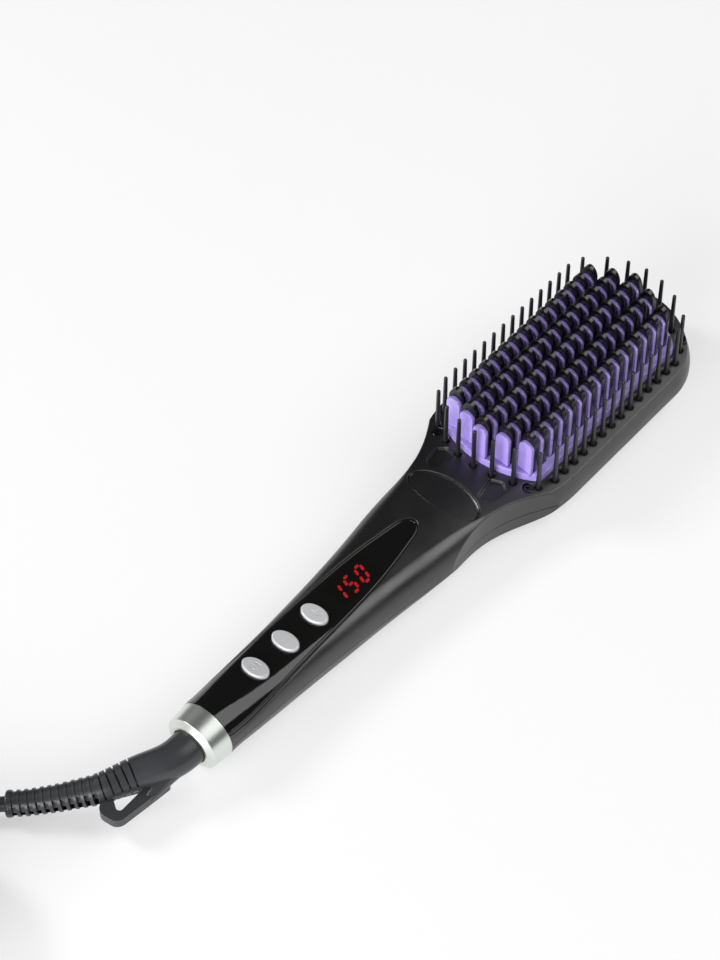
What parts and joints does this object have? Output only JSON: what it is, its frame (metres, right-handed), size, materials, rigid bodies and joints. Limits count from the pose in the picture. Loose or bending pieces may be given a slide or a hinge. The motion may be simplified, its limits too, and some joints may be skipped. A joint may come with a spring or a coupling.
{
  "type": "heated hair straightening brush",
  "caption": "Corded heated straightening brush: waisted handle with display and press buttons, oval head with heated comb, cool blades and guard pins, swivel lead.",
  "frame": {"origin": "middle of the brush's length and width, on the surface its back lies on, without the lead", "axes": "+Y from the handle to the tip of the head, +Z the way the comb's teeth stand, +X to the right seen from the handle's end"},
  "size_m": [0.1073, 0.4661, 0.0454],
  "materials": {
    "satin_black_casing": "satin moulded, soft sheen",
    "gloss_black_panel": "high gloss",
    "display_window": "high gloss dead-front window",
    "display_red": "lit red",
    "silver_button": "satin with polished bevel",
    "chrome_ring": "polished",
    "violet_coating": "satin ceramic coating",
    "black_blade": "satin moulded",
    "black_pin": "satin moulded",
    "black_screw": "black zinc",
    "steel_screw": "zinc",
    "black_rubber": "satin rubber",
    "plug_plastic": "satin moulded",
    "nickel_pin": "nickel plated",
    "natural_plastic": "moulded",
    "brass_contact": "plain",
    "board_green": "solder mask",
    "part_black": "moulded",
    "heater_ceramic": "fired ceramic in film",
    "mica": "layered",
    "clamp_aluminium": "plain sheet",
    "wire_red": "silicone"
  },
  "bodies": {
    "body": {"upper_shell": "satin_black_casing", "lower_shell": "satin_black_casing", "neck_plate": "satin_black_casing", "control_panel": "gloss_black_panel", "display_lens": "display_window", "display_segments": "display_red", "display_module": "part_black", "comb_plate": "violet_coating", "heat_fins": "violet_coating", "cool_tip_blades": "black_blade", "guard_pins": "black_pin", "pin_frame": "black_pin", "heating_elements": "heater_ceramic", "mica_sheet": "mica", "heater_clamp": "clamp_aluminium", "clamp_screws": "steel_screw", "thermistor": "natural_plastic", "thermal_fuse": "clamp_aluminium", "head_screws": "black_screw", "belly_screws": "black_screw", "main_board": "board_green", "board_screws": "steel_screw", "tactile_switches": "part_black", "board_parts": "part_black", "collar_ring": "chrome_ring", "swivel_housing_upper": "natural_plastic", "swivel_housing_lower": "natural_plastic", "brush_block": "natural_plastic", "contact_brushes": "brass_contact", "mains_wires": "wire_red", "heater_wires": "wire_red"},
    "power_button": {"button_power": "silver_button"},
    "minus_button": {"button_minus": "silver_button"},
    "plus_button": {"button_plus": "silver_button"},
    "lead": {"swivel_stem": "natural_plastic", "slip_rings": "brass_contact", "strain_relief": "black_rubber", "cord": "black_rubber", "cord_coil": "black_rubber", "plug_body": "plug_plastic", "plug_pins": "nickel_pin"}
  },
  "joints": [
    {"name": "power_press", "type": "slide", "parent": "body", "child": "power_button", "axis": [0, -0.0806, -0.9967], "range_m": [0, 0.0005], "stiffness_N_per_m": 1200, "springref_m": -0.0004},
    {"name": "minus_press", "type": "slide", "parent": "body", "child": "minus_button", "axis": [0, -0.0363, -0.9993], "range_m": [0, 0.0005], "stiffness_N_per_m": 1200, "springref_m": -0.0004},
    {"name": "plus_press", "type": "slide", "parent": "body", "child": "plus_button", "axis": [0, -0.0192, -0.9998], "range_m": [0, 0.0005], "stiffness_N_per_m": 1200, "springref_m": -0.0004},
    {"name": "cord_swivel", "type": "hinge", "parent": "body", "child": "lead", "pos_m": [0, -0.12, 0.0155], "axis": [0, 1, 0], "continuous": true}
  ]
}
